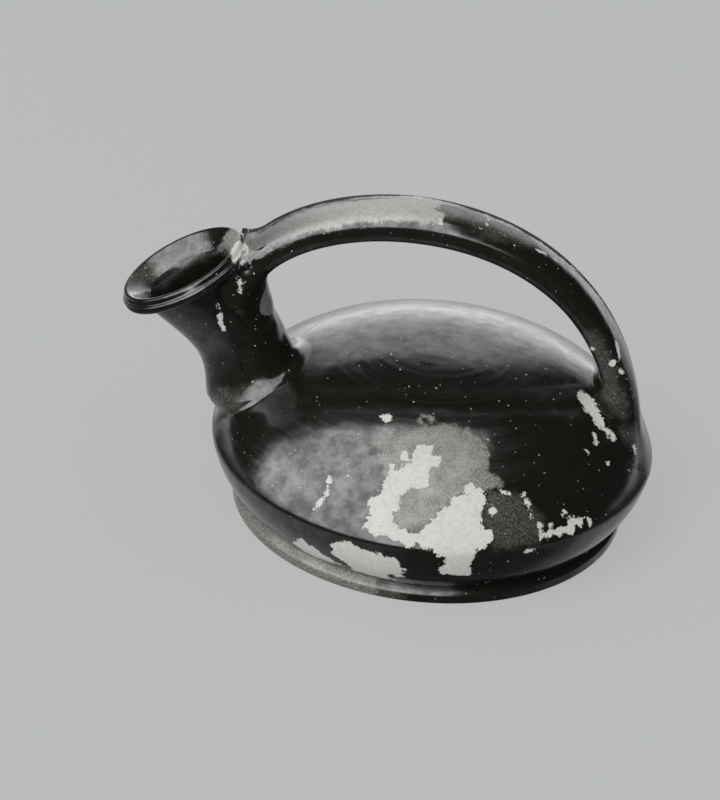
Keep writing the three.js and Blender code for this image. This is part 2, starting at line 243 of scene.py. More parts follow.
def through(stations, samples=600):
    """A smooth line through points, as centripetal Catmull-Rom."""
    points = [np.asarray(p, float) for p in stations]
    points = [2 * points[0] - points[1], *points, 2 * points[-1] - points[-2]]
    made = []
    for p0, p1, p2, p3 in zip(points, points[1:], points[2:], points[3:]):
        k0, k1, k2 = (
            max(np.linalg.norm(b - a), 1e-6) ** 0.5 for a, b in ((p0, p1), (p1, p2), (p2, p3))
        )
        leave = k1 * ((p1 - p0) / k0 - (p2 - p0) / (k0 + k1) + (p2 - p1) / k1)
        arrive = k1 * ((p2 - p1) / k1 - (p3 - p1) / (k1 + k2) + (p3 - p2) / k2)
        t = np.linspace(0, 1, samples, endpoint=False)[:, None]
        made.append(cubic(p1, p1 + leave / 3, p2 - arrive / 3, p2, t))
    return np.vstack([*made, points[-2]])


def skin(name, rings, looped=False):
    """A closed mesh from rings of points. A looped one runs back into its first ring, and any
    other is closed by a middle point at each end."""
    count, sides = rings.shape[:2]
    points = rings.reshape(-1, 3)
    index = np.arange(count * sides).reshape(count, sides)
    rows = np.vstack([index, index[:1]]) if looped else index
    near, far = rows[:-1], rows[1:]
    quads = np.stack([near, np.roll(near, -1, 1), np.roll(far, -1, 1), far], -1).reshape(-1, 4)
    faces = quads.tolist()
    if not looped:
        points = np.vstack([points, rings[0].mean(0), rings[-1].mean(0)])
        first, last = len(points) - 2, len(points) - 1
        for i in range(sides):
            after = (i + 1) % sides
            faces.append([int(index[0, after]), int(index[0, i]), first])
            faces.append([int(index[-1, i]), int(index[-1, after]), last])
    mesh = bpy.data.meshes.new(name)
    mesh.from_pydata(points.tolist(), [], faces)
    mesh.calc_loop_triangles()
    corners = np.empty(len(mesh.loop_triangles) * 3, np.int32)
    mesh.loop_triangles.foreach_get("vertices", corners)
    a, b, c = points[corners.reshape(-1, 3).T]
    if (a * np.cross(b, c)).sum() < 0:
        mesh.flip_normals()
    finish_mesh(mesh)
    return place(name, mesh)


def finish_mesh(mesh):
    mesh.polygons.foreach_set("use_smooth", np.ones(len(mesh.polygons), bool))
    mesh.set_sharp_from_angle(angle=math.radians(50))
    mesh.update()


def place(name, mesh):
    piece = bpy.data.objects.new(name, mesh)
    bpy.context.scene.collection.objects.link(piece)
    return piece


def points_of(piece):
    points = np.empty(len(piece.data.vertices) * 3)
    piece.data.vertices.foreach_get("co", points)
    return points.reshape(-1, 3)


def glaze(piece, context, node, slip, on_body=False, on_handle=False):
    """Wears a piece, gives it a slip, and lets it stand for its node of the frame."""
    add_wear(piece, context, on_body, on_handle)
    material = bpy.data.materials.get(slip) or black_gloss(slip, context.scene.jug_finish)
    piece.data.materials.clear()
    piece.data.materials.append(material)
    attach(piece, "root")
    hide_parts(node)


# Body


def dome_shape(body):
    """Height of the middle of the dome's curve, its rise, its widest radius and its power."""
    rise = body.dome_rise + body.dome_sink
    n = body.dome_fullness
    widest = body.edge_radius / (1 - (body.dome_sink / rise) ** n) ** (1 / n)
    return body.edge_height - body.dome_sink, rise, widest, n


def dome_height(body, radius):
    centre, rise, widest, n = dome_shape(body)
    share = np.clip(np.asarray(radius) / widest, 0, 1) ** n
    return centre + rise * (1 - share) ** (1 / n)


def dome_line(body, growth, rows):
    """The dome's profile from the edge's height to the top, a distance outside its surface."""
    centre, rise, widest, n = dome_shape(body)
    start = math.asin((body.dome_sink / (rise + growth)) ** (n / 2))
    angle = np.linspace(start, math.pi / 2, rows + 1)[:-1]
    radius = (widest + growth) * np.cos(angle) ** (2 / n)
    height = centre + (rise + growth) * np.sin(angle) ** (2 / n)
    return np.stack([radius, height], -1)


def wall_line(body, growth, rows):
    """The lower wall's profile from its foot to the edge, a distance outside its surface."""
    foot = np.array([body.edge_radius - body.bowl_inset, body.floor])
    edge = np.array([body.edge_radius, body.edge_height])
    slope = unit(edge - foot)
    outwards = np.array([slope[1], -slope[0]])
    middle = (foot + edge) / 2 + outwards * (2 * body.bowl_bulge + growth)
    t = np.linspace(0, 1, rows + 1)[:, None]
    return quadratic(foot + [growth, 0], middle, edge + [growth, 0], t)


def body_outline(body):
    """Outside of the lower wall up to the middle of the worn edge, and of the dome from there to
    the top."""
    wall = wall_line(body, 0, ROWS["wall"])[:-1]
    dome = dome_line(body, 0, ROWS["dome"])[1:]
    corner = np.array([body.edge_radius, body.edge_height])
    wall = wall[np.linalg.norm(wall - corner, axis=1) > body.edge_wear]
    dome = dome[np.linalg.norm(dome - corner, axis=1) > body.edge_wear]
    worn = quadratic(wall[-1], corner, dome[0], np.linspace(0, 1, 9)[1:-1, None])
    middle = len(worn) // 2
    return np.vstack([wall, worn[: middle + 1]]), np.vstack([worn[middle:], dome])


def body_chart(points, body):
    """Angle around the body in radians, and length along its outside from the edge upwards."""
    wall, dome = body_outline(body)
    line = np.vstack([wall, dome[1:]])
    steps = np.linalg.norm(np.diff(line, axis=0), axis=1)
    along = np.concatenate([[0], np.cumsum(steps)])
    along -= along[len(wall) - 1]
    angle = np.arctan2(points[:, 1], points[:, 0])
    return angle, np.interp(points[:, 2], line[:, 1], along)


# Spout


def spout_frame(spout):
    """Origin in the middle of the mouth, +Z out of it and +X towards the handle."""
    x = np.array([math.cos(spout.tilt), 0, math.sin(spout.tilt)])
    z = np.array([-math.sin(spout.tilt), 0, math.cos(spout.tilt)])
    return np.array([-spout.reach, 0, spout.height]), x, np.array([0.0, 1, 0]), z


def into_jug(spout, points):
    origin, x, y, z = spout_frame(spout)
    return origin + points[..., :1] * x + points[..., 1:2] * y + points[..., 2:] * z


def root_station(body, spout):
    origin, x, _, z = spout_frame(spout)
    point = np.array([-spout.root_reach, 0, float(dome_height(body, spout.root_reach))]) - origin
    return float(point @ x), -float(point @ z)


def collar_start(body, spout):
    """Depth at which the smear of slip around the neck's root begins."""
    return root_station(body, spout)[1] - spout.root_smear


def neck_line(body, spout):
    """The neck's outside as rows of (lean, radius, depth). It ends hidden in the dome."""
    lean, depth = root_station(body, spout)
    return through(
        [
            (0, spout.throat_radius, spout.rim_height + 0.3 * MM),
            (spout.waist_lean, spout.waist_radius, spout.waist_depth),
            (lean, spout.root_radius, depth),
            (lean - 1.3 * MM, spout.root_radius + 2.4 * MM, depth + 9 * MM),
        ]
    )


def bore_line(body, spout):
    """The neck's inside in the same way: a funnel that narrows to an even bore."""
    lean, depth = root_station(body, spout)
    inner = spout.throat_radius - spout.neck_wall
    return through(
        [
            (0, inner + 1.6 * MM, spout.rim_height - 1.4 * MM),
            (0, inner, spout.rim_height + 0.3 * MM),
            (0.9 * MM, inner - 1.0 * MM, spout.rim_height + 6 * MM),
            (spout.waist_lean, spout.bore_radius, spout.waist_depth),
            (lean, spout.bore_radius, depth),
            (lean - 1.3 * MM, spout.bore_radius, depth + 12 * MM),
        ]
    )


def at_depth(line, depth):
    """Lean and radius of such a line at depths."""
    return np.interp(depth, line[:, 2], line[:, 0]), np.interp(depth, line[:, 2], line[:, 1])


def circles(spout, line, depths, sides):
    """Rings around the spout's axis at the given depths."""
    angles = full_turn(sides)
    lean, radius = at_depth(line, depths)
    rings = np.empty((len(depths), sides, 3))
    rings[..., 0] = lean[:, None] + radius[:, None] * np.cos(angles)
    rings[..., 1] = radius[:, None] * np.sin(angles)
    rings[..., 2] = -np.asarray(depths)[:, None]
    return into_jug(spout, rings)


# Handle

# Places along the strap, as shares of its length, and how full it is there
STRAP_SHARES = (0, 0.33, 0.67, 1)
STRAP_FULLNESS = (0.95, 1.01, 0.92, 1.05)


def handle_curve(body, spout, handle, count=1200):
    """The handle's centre line, evenly spaced, with its directions and its length so far."""

    def heading(angle):
        return np.array([math.cos(angle), 0, math.sin(angle)])

    start = into_jug(
        spout, np.array([spout.rim_radius + handle.behind_rim, 0, -handle.below_rim])
    )
    foot = float(dome_height(body, handle.foot_reach)) - handle.foot_sink
    end = np.array([handle.foot_reach, 0, foot])
    pull = start + heading(handle.rise_angle) * handle.rise
    drop = end + heading(math.pi / 2 + handle.foot_lean) * handle.drop
    fine = cubic(start, pull, drop, end, np.linspace(0, 1, 4000)[:, None])
    along = np.concatenate([[0], np.cumsum(np.linalg.norm(np.diff(fine, axis=0), axis=1))])
    at = np.linspace(0, along[-1], count)
    line = np.stack([np.interp(at, along, fine[:, i]) for i in range(3)], -1)
    return line, unit(np.gradient(line, axis=0)), at


def strap_ends(handle, at):
    """Places in the handle's line where the plain strap begins and ends."""
    return np.searchsorted(at, [handle.mouth_start, at[-1] - handle.foot_start])


def strap_thickness(handle, share):
    """Half thickness at a share of the strap's length: fullest near the crest and at the foot."""
    return np.interp(share, STRAP_SHARES, STRAP_FULLNESS) * handle.thickness / 2


def strap_rings(handle, curve, places, sides):
    """Rounded-square sections at places of the handle's curve, wide across Y."""
    line, headings, at = (part[places] for part in curve)
    angles = full_turn(sides)
    power = 2 / handle.squareness
    across = np.sign(np.cos(angles)) * np.abs(np.cos(angles)) ** power
    inward = np.sign(np.sin(angles)) * np.abs(np.sin(angles)) ** power
    half = strap_thickness(handle, at / curve[2][-1])[:, None, None]
    side = np.array([0.0, 1, 0])
    under = np.cross(side, headings)
    rings = line[:, None, :] + across[None, :, None] * side * handle.width / 2
    return rings + inward[None, :, None] * under[:, None, :] * half


def smeared(ring, leaving, foot, landing, steps, pull):
    """Columns of clay that leave a ring along one direction and land on a surface along another."""
    reach = np.linalg.norm(foot - ring, axis=1, keepdims=True) * pull
    t = np.linspace(0, 1, steps + 1)[:, None, None]
    return cubic(ring, ring + leaving * reach, foot - landing * reach, foot, t)


def blend(first, second, width):
    """Joins two distances so that the surfaces meet in a soft fillet."""
    near = np.maximum(width - np.abs(first - second), 0) / width
    return np.minimum(first, second) - near**2 * width / 4


def settled(points, distance, rounds=6):
    """Moves points onto the surface where a distance is nought."""
    step = 0.02 * MM
    for _ in range(rounds):
        value = distance(points)
        slope = np.empty_like(points)
        for axis in range(3):
            shift = np.zeros(3)
            shift[axis] = step
            slope[..., axis] = (distance(points + shift) - distance(points - shift)) / (2 * step)
        steep = np.maximum((slope**2).sum(-1), 0.04)
        move = np.clip(value / steep, -MM, MM)
        points = points - move[..., None] * slope
    return points


def body_distance(body):
    """Distance outside the body, from its outline."""
    wall = wall_line(body, 0, ROWS["wall_coarse"])[:-1]
    line = np.vstack([wall, dome_line(body, 0, ROWS["dome_coarse"])])
    ahead = np.diff(line, axis=0)
    size = (ahead**2).sum(1)

    def distance(points):
        flat = np.stack([np.linalg.norm(points[..., :2], axis=-1), points[..., 2]], -1)
        away = flat[..., None, :] - line[:-1]
        t = np.clip((away * ahead).sum(-1) / size, 0, 1)
        away = away - t[..., None] * ahead
        far = np.linalg.norm(away, axis=-1)
        nearest = far.argmin(-1)[..., None]
        side = away[..., 0] * ahead[:, 1] - away[..., 1] * ahead[:, 0]
        sign = np.sign(np.take_along_axis(side, nearest, -1)[..., 0])
        return sign * np.take_along_axis(far, nearest, -1)[..., 0]

    return distance


def neck_distance(body, spout, swell=None):
    """Distance outside the neck and its lip. Below its root the neck draws in like a plug. A swell
    adds to the radius at a depth and a turn around the neck."""
    origin, x, y, z = spout_frame(spout)
    line = neck_line(body, spout)
    root = root_station(body, spout)[1]

    def distance(points):
        local = points - origin
        depth = -(local @ z)
        lean, radius = at_depth(line, depth)
        radius = np.where(depth > root, spout.root_radius - 0.7 * (depth - root), radius)
        lip = np.clip((spout.rim_height + 1.2 * MM - depth) / (1.2 * MM), 0, 1)
        lip = lip * lip * (3 - 2 * lip)
        radius = radius + lip * (spout.rim_radius - radius)
        lean = lean * (1 - lip)
        out, across = local @ x - lean, local @ y
        if swell:
            radius = radius + swell(depth, np.arctan2(across, out))
        return np.hypot(out, across) - radius

    return distance


def pad_swell(handle):
    """How far the handle's root stands out from the neck, at a depth and a turn around it."""

    def swell(depth, turn):
        up = (depth - handle.pad_depth) / handle.pad_reach
        inside = np.clip(1 - up**2 - (turn / handle.pad_turn) ** 2, 0, 1)
        return handle.pad_swell * inside

    return swell


def strap_distance(handle, curve, widths):
    """Distance outside the strap, with its half width along the curve."""
    line, headings, at = curve
    thicknesses = strap_thickness(handle, at / at[-1])
    outwards = np.cross(headings, [0.0, -1, 0])

    def distance(points):
        flat = points[..., [0, 2]].reshape(-1, 2)
        away = flat[:, None] - line[None, ::4, [0, 2]]
        nearest = 4 * (away**2).sum(-1).argmin(1).reshape(points.shape[:-1])
        across = np.abs(points[..., 1]) / widths[nearest]
        away = ((points - line[nearest]) * outwards[nearest]).sum(-1)
        power = handle.squareness
        share = (across**power + (np.abs(away) / thicknesses[nearest]) ** power) ** (1 / power)
        return (share - 1) * thicknesses[nearest]

    return distance


def landing_on_dome(body, foot, centre):
    """Directions in which a smear of slip runs out over the dome, away from a point."""
    radius = np.linalg.norm(foot[:, :2], axis=1)
    step = 0.05 * MM
    slope = (dome_height(body, radius + step) - dome_height(body, radius - step)) / (2 * step)
    out = unit(foot[:, :2] - centre)
    rise = slope * (out * foot[:, :2]).sum(1) / radius
    return unit(np.column_stack([out, rise]))


def on_body(body, flat):
    """Puts points of the plan on the dome. What lies beyond the edge goes down the wall."""
    radius = np.linalg.norm(flat, axis=1)
    wall = wall_line(body, 0, ROWS["wall"])[::-1]
    down = np.concatenate([[0], np.cumsum(np.linalg.norm(np.diff(wall, axis=0), axis=1))])
    beyond = np.maximum(radius - body.edge_radius, 0) * 1.4
    over = beyond > 0
    plan = np.where(over, np.interp(beyond, down, wall[:, 0]), radius)
    height = np.where(over, np.interp(beyond, down, wall[:, 1]), dome_height(body, radius))
    return np.column_stack([flat * (plan / radius)[:, None], height])


# Materials

# Sockets of the Mix node, which has a pair of inputs for each type
SHARE, VALUE_A, VALUE_B, COLOUR_A, COLOUR_B, MIXED_COLOUR = 0, 2, 3, 6, 7, 2
# Height of the wheel's streaks in each slip, in millimetres. The handle is pulled, not thrown
STREAKS = {"black_slip_on_body": 0.008, "black_slip_on_spout": 0.008, "black_slip_on_handle": 0.0}
# Each worn place's raggedness and softness in millimetres
WORN_EDGES = {
    "flake": (1.7, 0.12),
    "crust": (1.6, 0.6),
    "haze": (1.6, 1.6),
    "bloom_and_highlight": (1.0, 0.5),
    "dull": (1.0, 0.6),
}
# Chips as (cells per millimetre, share of cells without one, largest radius in cells)
CHIPS = ((0.22, 0.72, 0.07), (0.5, 0.72, 0.1), (0.9, 0.55, 0.13))


def linear(hex_code):
    """An sRGB hex colour as the linear values that Blender works in."""
    values = [int(hex_code[i : i + 2], 16) / 255 for i in (1, 3, 5)]
    return (*(v / 12.92 if v <= 0.04045 else ((v + 0.055) / 1.055) ** 2.4 for v in values), 1.0)


def add(tree, kind, inputs=(), **settings):
    """Adds a node with its settings, and sets or links its inputs, given in order or by name. A
    node given as an input is linked by its first output."""
    node = tree.nodes.new("ShaderNode" + kind)
    for key, value in settings.items():
        setattr(node, key, value)
    for key, value in inputs.items() if isinstance(inputs, dict) else enumerate(inputs):
        if isinstance(value, bpy.types.Node):
            value = value.outputs[0]
        if isinstance(value, bpy.types.NodeSocket):
            tree.links.new(value, node.inputs[key])
        else:
            node.inputs[key].default_value = value
    return node


def new_material(name):
    """A material, and the function that adds nodes to it."""
    material = bpy.data.materials.new(name)
    material.use_nodes = True
    material.node_tree.nodes.clear()
    return material, partial(add, material.node_tree)


def millimetre_space(node):
    on_object = node("TexCoord").outputs["Object"]
    return node("VectorMath", {0: on_object, "Scale": 1000.0}, operation="SCALE")


def worn_places(node, mm):
    """Where the slip is flaked, crusted, hazed, bloomed (partly a painted highlight) and dull, 0 to 1,
    with ragged outlines.
    """
    # Bites of 2 mm with crumbs of 0.4 mm
    bites = node("TexNoise", {"Vector": mm, "Scale": 0.5, "Detail": 5.0, "Roughness": 0.6})
    crumbs = node("TexNoise", {"Vector": mm, "Scale": 2.4, "Detail": 3.0})
    ragged = node("Math", (bites, 2.6, -1.8), operation="MULTIPLY_ADD")
    ragged = node("Math", (crumbs, ragged), operation="ADD")
    places = {}
    for name, (roughly, softness) in WORN_EDGES.items():
        away = node("Attribute", attribute_name=name).outputs["Fac"]
        away = node("Math", (ragged, roughly, away), operation="MULTIPLY_ADD")
        places[name] = node("MapRange", (away, softness, -softness), interpolation_type="SMOOTHSTEP")
    return places


def chipped(node, mm, flaked):
    """The flakes, with chips of 0.6 mm down to specks of 0.2 mm added."""
    bared = flaked
    uneven = node("TexNoise", {"Vector": mm, "Scale": 0.7}).outputs["Color"]
    uneven = node("VectorMath", (uneven, (1.6, 1.6, 1.6), mm), operation="MULTIPLY_ADD")
    for scale, share, size in CHIPS:
        cells = node("TexVoronoi", {"Vector": uneven, "Scale": scale})
        lot = node("SeparateColor", (cells.outputs["Color"],))
        lot = node("MapRange", (lot, share, 1.0, 0.0, size))
        chip = node("Math", (cells, lot), operation="LESS_THAN")
        bared = node("Math", (bared, chip), operation="MAXIMUM")
    return bared


def wheel_streaks(node, mm):
    """Streaks wound round the axis, 1 to 3 mm apart across it, fading out at the very top."""
    axes = node("SeparateXYZ", (mm,)).outputs
    flat = node("CombineXYZ", {0: axes[0], 1: axes[1]})
    radius = node("VectorMath", (flat,), operation="LENGTH").outputs["Value"]
    ringed = node("CombineXYZ", {0: radius, 1: axes[2]})
    slow = node("VectorMath", {0: flat, "Scale": 0.06}, operation="SCALE")
    wound = node("VectorMath", (ringed, slow), operation="ADD")
    wheel = node("TexNoise", {"Vector": wound, "Scale": 0.7, "Detail": 4.0})
    off_axis = node("MapRange", (radius, 14.0, 40.0))
    return wheel, off_axis


def films_on_slip(node, mm, places, mottle):
    """Shares of crust and bloom. The crust is dense and the haze a thin trace of the same. The bloom is
    partly a pale film and partly a painted highlight of the softbox on the handle's top, and it thins out
    towards the mouth."""
    grain = node("TexNoise", {"Vector": mm, "Scale": 2.6, "Detail": 5.0, "Roughness": 0.75})
    film = node("MapRange", (grain, 0.4, 0.62, 0.2, 0.95))
    crust = node("Math", (places["crust"], film), operation="MULTIPLY")
    trace = node("MapRange", (grain, 0.4, 0.65, 0.02, 0.4))
    trace = node("Math", (places["haze"], trace), operation="MULTIPLY")
    crust = node("Math", (crust, trace), operation="MAXIMUM")
    # Painted highlight: the handle's pale band grows from faint at the mouth to full towards the crest
    reach = node("SeparateXYZ", (mm,))
    thin = node("MapRange", (reach, -44.0, -18.0, 0.3, 0.95))
    patchy = node("MapRange", (mottle, 0.3, 0.55, 0.6, 1.0))
    bloom_and_highlight = node("Math", (places["bloom_and_highlight"], thin), operation="MULTIPLY")
    bloom_and_highlight = node("Math", (bloom_and_highlight, patchy), operation="MULTIPLY")
    return crust, bloom_and_highlight


def slip_colour(node, finish, mottle, films):
    """The black slip, the films of crust and bloom over it, the bloom partly a painted highlight, and the
    pale clay where it is bared.
    """
    stained = node("MapRange", (mottle, 0.45, 0.8))
    stains = {SHARE: stained, COLOUR_A: linear(finish.clay), COLOUR_B: linear(finish.clay_dirty)}
    clay = node("Mix", stains, data_type="RGBA").outputs[MIXED_COLOUR]
    colour = linear(finish.gloss)
    crust, bloom_and_highlight, bared = films
    coats = (
        (mottle, linear(finish.gloss_worn)),
        (crust, linear(finish.crust)),
        (bloom_and_highlight, linear(finish.bloom_and_highlight)),
        (bared, clay),
    )
    for share, coat in coats:
        layer = {SHARE: share, COLOUR_A: colour, COLOUR_B: coat}
        colour = node("Mix", layer, data_type="RGBA").outputs[MIXED_COLOUR]
    return colour


def slip_relief(node, mm, streaks, crust, bared):
    """Height in millimetres: streaks, hand-burnished waves 10 mm long, crust and flakes."""
    height = node("Math", streaks, operation="MULTIPLY")
    waves = node("TexNoise", {"Vector": mm, "Scale": 0.09, "Detail": 2.0})
    for layer, tall in ((waves, 0.2), (crust, 0.02), (bared, -0.06)):
        height = node("Math", (layer, tall, height), operation="MULTIPLY_ADD")
    return height


def black_gloss(name, finish):
    """Fired iron-rich slip, burnished on the wheel: a hard black gloss about 0.05 mm thick, worn
    matt in places and flaked off down to pale clay and lime crust."""
    material, node = new_material(name)
    mm = millimetre_space(node)
    mottle = node("TexNoise", {"Vector": mm, "Scale": 1.1, "Detail": 6.0, "Roughness": 0.7})
    wheel, off_axis = wheel_streaks(node, mm)
    places = worn_places(node, mm)
    bared = chipped(node, mm, places["flake"])
    crust, bloom_and_highlight = films_on_slip(node, mm, places, mottle)

    # 0.12 on sound gloss, up to 0.22 in the streaks
    roughness = node("MapRange", (wheel, 0.35, 0.7, 0.12, 0.22))
    for share, coat in ((crust, 0.5), (bloom_and_highlight, 0.6), (places["dull"], 0.6), (bared, 0.9)):
        roughness = node("Mix", {SHARE: share, VALUE_A: roughness, VALUE_B: coat})

    # Rubbed and dirty spots, 4 mm and smaller, mirror less
    rubbed = node("TexNoise", {"Vector": mm, "Scale": 0.24, "Detail": 7.0, "Roughness": 0.68})
    mirror = node("MapRange", (rubbed, 0.36, 0.6, 0.58, 0.24))
    mirror = node("Mix", {SHARE: places["dull"], VALUE_A: mirror, VALUE_B: 0.03})

    streaks = node("Math", (wheel, off_axis), operation="MULTIPLY")
    height = slip_relief(node, mm, (streaks, STREAKS[name]), crust, bared)
    surface = {
        "Base Color": slip_colour(node, finish, mottle, (crust, bloom_and_highlight, bared)),
        "Roughness": roughness,
        "IOR": 1.7,
        "Specular IOR Level": mirror,
        "Normal": node("Bump", {"Height": height, "Strength": 1.0, "Distance": MM}),
    }
    node("OutputMaterial", {"Surface": node("BsdfPrincipled", surface)})
    return material


def bare_clay(finish):
    """Unglazed fired clay: dry and matt, with fine grit and finger-smoothed waves."""
    material, node = new_material("bare_fired_clay")
    mm = millimetre_space(node)
    grit = node("TexNoise", {"Vector": mm, "Scale": 2.5, "Detail": 4.0})
    waves = node("TexNoise", {"Vector": mm, "Scale": 0.2, "Detail": 2.0})
    stains = {SHARE: waves, COLOUR_A: linear(finish.bare), COLOUR_B: linear(finish.clay_dirty)}
    colour = node("Mix", stains, data_type="RGBA").outputs[MIXED_COLOUR]
    bump = node("Bump", {"Height": grit, "Strength": 1.0, "Distance": 0.1 * MM})
    surface = {"Base Color": colour, "Roughness": 0.9, "IOR": 1.5, "Normal": bump}
    node("OutputMaterial", {"Surface": node("BsdfPrincipled", surface)})
    return material


# Wear. On the body an outline is a list of (degrees around, millimetres up from the edge), on the
# handle of (x, y) in millimetres. A stroke is a half width and a line of (x, y, z) in millimetres.
# The places are drawn after the old pot.

FLAKES = (
    # Upper patch
    [
        (-97, 23.5), (-92, 23.5), (-91.5, 21.5), (-88, 21.5), (-88.5, 19), (-91, 18), (-91.5, 14.5),
        (-95.5, 13), (-99.5, 11.5), (-98.5, 8.5), (-100, 7), (-99, 5), (-96, 4), (-91, 4), (-89.5, 1),
        (-96.5, 1.5), (-103, 2), (-106.5, 3), (-106.5, 5.5), (-105.5, 6), (-107, 7.5), (-106.5, 9.5),
        (-104.5, 11), (-105, 13.5), (-103.5, 15.5), (-104, 17.5), (-101.5, 17.5), (-98, 19),
    ],
    # Patch over the edge
    [
        (-78.5, 15.5), (-77, 14), (-74.5, 12.5), (-76, 10.5), (-76, 8.5), (-77, 6.5), (-76.5, 5),
        (-74.5, 4.5), (-73.5, 2.5), (-75, 1.5), (-78.5, 1), (-79, -1.5), (-79.5, -4), (-78.5, -6.5),
        (-79.5, -7.5), (-86, -7), (-87, -5), (-85.5, -3), (-86.5, -1), (-88, -0.5), (-89.5, 1),
        (-95, 1), (-95, 4), (-91, 4.5), (-90, 7), (-88.5, 7), (-89, 9), (-86, 10.5), (-84, 12),
        (-81, 13), (-80.5, 14.5),
    ],
    # Two patches on the lower wall
    [(-129, -10), (-124, -6), (-120, -7.5), (-113.5, -11), (-119, -12.5), (-126, -13)],
    [
        (-114.5, -3), (-111, -1), (-104.5, -2), (-98, -3), (-95.5, -6), (-96, -10), (-97.5, -11),
        (-99.5, -9.5), (-99.5, -12), (-98, -13), (-103, -13.5), (-110, -13), (-111.5, -9), (-115, -7),
    ],
)
CRUSTS = (
    [
        (-108, 27), (-104, 25), (-100, 27), (-96, 29), (-83, 29.5), (-76, 28.5), (-72.5, 25),
        (-71.5, 21), (-73, 18), (-69, 13.5), (-77, 13.5), (-84, 12), (-90.5, 6.5), (-96.5, 4),
        (-102, 6), (-104, 14), (-108, 20), (-112, 22),
    ],
    # Worn left side of the foot, thinning out under the spout
    [(-190, -15.6), (-165, -13.4), (-112, -13.4), (-104, -14.5), (-100, -18), (-190, -18)],
)
HAZES = (
    [(-74, 14), (-66, 12), (-60, 6), (-62, 1), (-74, 1), (-77, 8)],
    [
        (-184, -16), (-165, -9), (-150, -7), (-130, -9.5), (-112, -12), (-96, -13.6), (-96, -18),
        (-184, -18),
    ],
)
# Pale band on the handle's upper side: partly a pale film, partly a painted highlight of the softbox
BLOOM_AND_HIGHLIGHT_ON_HANDLE = [
    (-46.5, -1), (-43, 0.5), (-33, 1), (-22, 1.2), (-13, 2.2), (-8, 3.6), (-3.6, 4.4), (-2.4, 2),
    (-4.4, -1), (-1.6, -3), (-3.2, -6), (-12, -6.4), (-24, -6.8), (-34, -6.8), (-43, -6.6), (-46.5, -6.2),
]
DULL_ON_HANDLE = [
    (-47, 0.5), (-43, 2), (-33, 2.5), (-22, 2.7), (-13, 3.7), (-8, 4.6), (4, 3), (24, 2), (44, 2), (44, 9),
    (-47, 9),
]
